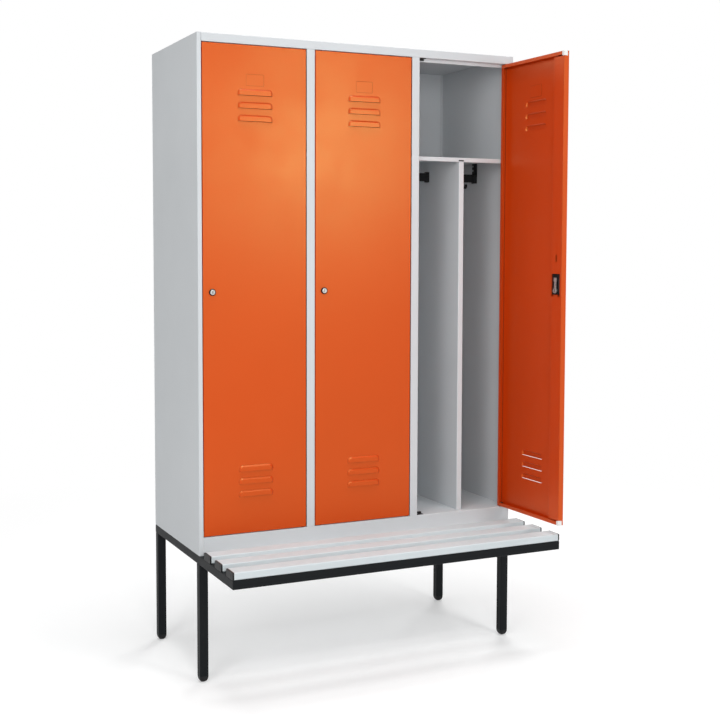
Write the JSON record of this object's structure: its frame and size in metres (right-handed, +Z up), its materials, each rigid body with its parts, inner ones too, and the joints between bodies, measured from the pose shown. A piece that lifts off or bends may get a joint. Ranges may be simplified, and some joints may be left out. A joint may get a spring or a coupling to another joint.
{
  "type": "clothes locker with bench",
  "caption": "Steel clothes locker on a tube-frame slatted bench; tall louvred doors on pin hinges with cam locks, hat shelves, dividers and coat rails.",
  "frame": {"origin": "on the floor, under the middle of the whole outline with the right door open", "axes": "+X to the right along the front, +Y to the back, +Z up"},
  "size_m": [1.2, 0.8472, 2.125],
  "materials": {
    "carcass_paint": "pale grey powder coat, satin",
    "door_paint": "orange powder coat, satin",
    "base_paint": "anthracite powder coat, fine texture",
    "slat_plastic": "pale grey extruded plastic, lightly grained",
    "black_plastic": "black moulded plastic",
    "white_plastic": "white moulded plastic",
    "lock_zinc": "bright zinc plate"
  },
  "bodies": {
    "carcass": {"side_panel_left": "carcass_paint", "side_panel_right": "carcass_paint", "partition_left": "carcass_paint", "partition_right": "carcass_paint", "back_panel": "carcass_paint", "top_panel": "carcass_paint", "bottom_panel": "carcass_paint", "hat_shelf_left": "carcass_paint", "hat_shelf_middle": "carcass_paint", "hat_shelf_right": "carcass_paint", "centre_divider_left": "carcass_paint", "centre_divider_middle": "carcass_paint", "centre_divider_right": "carcass_paint", "coat_rail_left": "black_plastic", "coat_rail_middle": "black_plastic", "coat_rail_right": "black_plastic", "divider_clips": "black_plastic", "rail_brackets": "black_plastic", "hinge_pins": "lock_zinc", "stop_pads": "black_plastic", "side_rail_left": "base_paint", "side_rail_right": "base_paint", "front_rail": "base_paint", "rear_rail": "base_paint", "cross_rail": "base_paint", "leg_front_left": "base_paint", "leg_front_right": "base_paint", "leg_rear_left": "base_paint", "leg_rear_right": "base_paint", "foot_caps": "black_plastic", "bench_slat_front": "slat_plastic", "bench_slat_middle": "slat_plastic", "bench_slat_rear": "slat_plastic", "slat_end_caps": "black_plastic"},
    "door_left": {"door_panel_left": "door_paint", "lock_stile_left": "door_paint", "lock_case_left": "black_plastic", "lock_ring_left": "black_plastic", "corner_buffers_left": "white_plastic", "hinge_bushes_left": "black_plastic"},
    "door_middle": {"door_panel_middle": "door_paint", "lock_stile_middle": "door_paint", "lock_case_middle": "black_plastic", "lock_ring_middle": "black_plastic", "corner_buffers_middle": "white_plastic", "hinge_bushes_middle": "black_plastic"},
    "door_right": {"door_panel_right": "door_paint", "lock_stile_right": "door_paint", "lock_case_right": "black_plastic", "lock_ring_right": "black_plastic", "corner_buffers_right": "white_plastic", "hinge_bushes_right": "black_plastic"},
    "lock_left": {"lock_cylinder_left": "lock_zinc", "lock_cam_left": "lock_zinc"},
    "lock_middle": {"lock_cylinder_middle": "lock_zinc", "lock_cam_middle": "lock_zinc"},
    "lock_right": {"lock_cylinder_right": "lock_zinc", "lock_cam_right": "lock_zinc"}
  },
  "joints": [
    {"name": "door_left_swing", "type": "hinge", "parent": "carcass", "child": "door_left", "pos_m": [-0.2265, -0.0674, 1.291], "axis": [0, 0, 1], "range_deg": [0, 100]},
    {"name": "door_middle_swing", "type": "hinge", "parent": "carcass", "child": "door_middle", "pos_m": [0.1735, -0.0674, 1.291], "axis": [0, 0, 1], "range_deg": [0, 100]},
    {"name": "door_right_swing", "type": "hinge", "parent": "carcass", "child": "door_right", "pos_m": [0.5735, -0.0674, 1.291], "axis": [0, 0, 1], "range_deg": [-91.5, 8.5]},
    {"name": "lock_left_turn", "type": "hinge", "parent": "door_left", "child": "lock_left", "pos_m": [-0.5515, -0.0674, 1.291], "axis": [0, -1, 0], "range_deg": [0, 90]},
    {"name": "lock_middle_turn", "type": "hinge", "parent": "door_middle", "child": "lock_middle", "pos_m": [-0.1515, -0.0674, 1.291], "axis": [0, -1, 0], "range_deg": [0, 90]},
    {"name": "lock_right_turn", "type": "hinge", "parent": "door_right", "child": "lock_right", "pos_m": [0.58201, -0.39229, 1.291], "axis": [0.9997, 0.0262, 0], "range_deg": [0, 90]}
  ]
}
